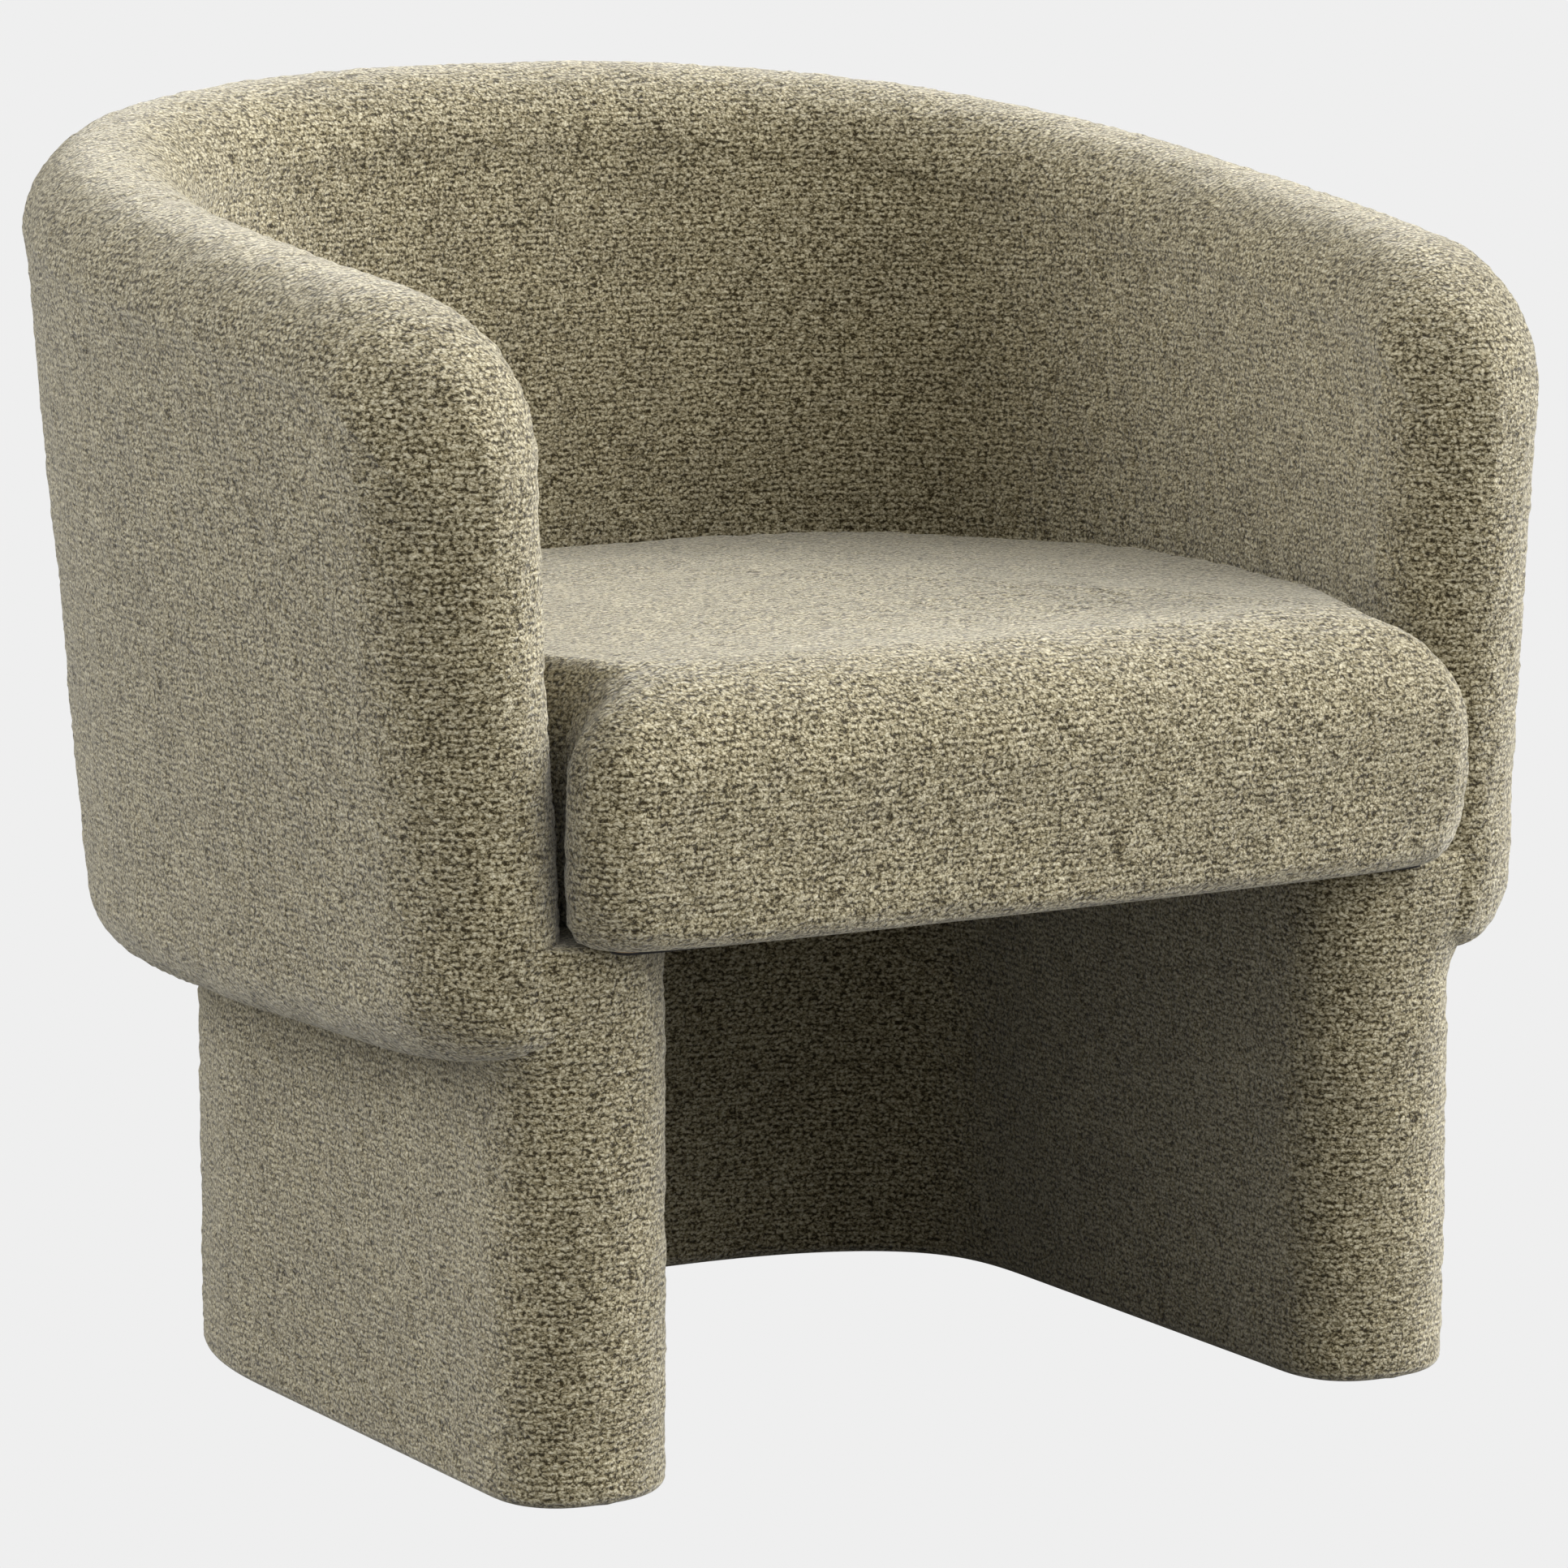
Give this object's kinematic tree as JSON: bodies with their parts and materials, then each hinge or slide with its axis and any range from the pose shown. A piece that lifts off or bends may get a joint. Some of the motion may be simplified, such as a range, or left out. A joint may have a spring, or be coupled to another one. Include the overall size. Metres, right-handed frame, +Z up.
{
  "type": "upholstered armchair",
  "caption": "Low upholstered barrel armchair: one padded wall wraps the back and arms, a thick D-shaped tight seat sits between them, and a C-shaped upholstered base reaches the floor.",
  "frame": {"origin": "centre of the chair's box on the floor, directly under the middle of its depth and width", "axes": "+X to the right seen from the front, the chair faces -Y, +Z up"},
  "size_m": [0.7654, 0.676, 0.7],
  "materials": {
    "cover_fabric": "looped, matt, oatmeal",
    "lining_cloth": "thin black lining cloth, matt",
    "wadding": "soft fibre wadding",
    "foam": "open-cell foam",
    "felt": "pressed felt",
    "plywood": "bare birch plywood",
    "timber": "planed, unfinished",
    "spring_steel": "oiled dark wire",
    "zinc_steel": "bright zinc plate",
    "glide_plastic": "moulded, matt black"
  },
  "bodies": {
    "root": {"floor_glides": "glide_plastic", "glide_screws": "zinc_steel", "base_bottom_board": "plywood", "base_studs": "timber", "left_base_post": "timber", "right_base_post": "timber", "base_rear_block": "timber", "base_outer_panel": "plywood", "base_inner_panel": "plywood", "base_padding": "foam", "base_bottom_cloth": "lining_cloth", "base_cover": "cover_fabric", "deck_board": "plywood", "tub_lower_rail": "plywood", "tub_sill": "plywood", "tub_bolts": "zinc_steel", "tub_washers": "zinc_steel", "tub_barrel_nuts": "zinc_steel", "tub_ribs": "timber", "left_arm_post": "timber", "right_arm_post": "timber", "tub_top_rail": "timber", "tub_outer_panel": "plywood", "tub_inner_panel": "plywood", "outside_wadding": "wadding", "inside_foam": "foam", "rim_foam": "foam", "left_arm_foam": "foam", "right_arm_foam": "foam", "skirt_foam": "foam", "tub_cover": "cover_fabric", "seat_frame": "timber", "spring_clips": "zinc_steel", "seat_springs": "spring_steel", "spring_tie_rods": "spring_steel", "spring_felt": "felt", "seat_foam": "foam", "seat_wadding": "wadding", "seat_cover": "cover_fabric", "seat_bottom_cloth": "lining_cloth", "seat_dowels": "timber", "seat_brackets": "zinc_steel", "bracket_screws": "zinc_steel"}
  },
  "joints": []
}
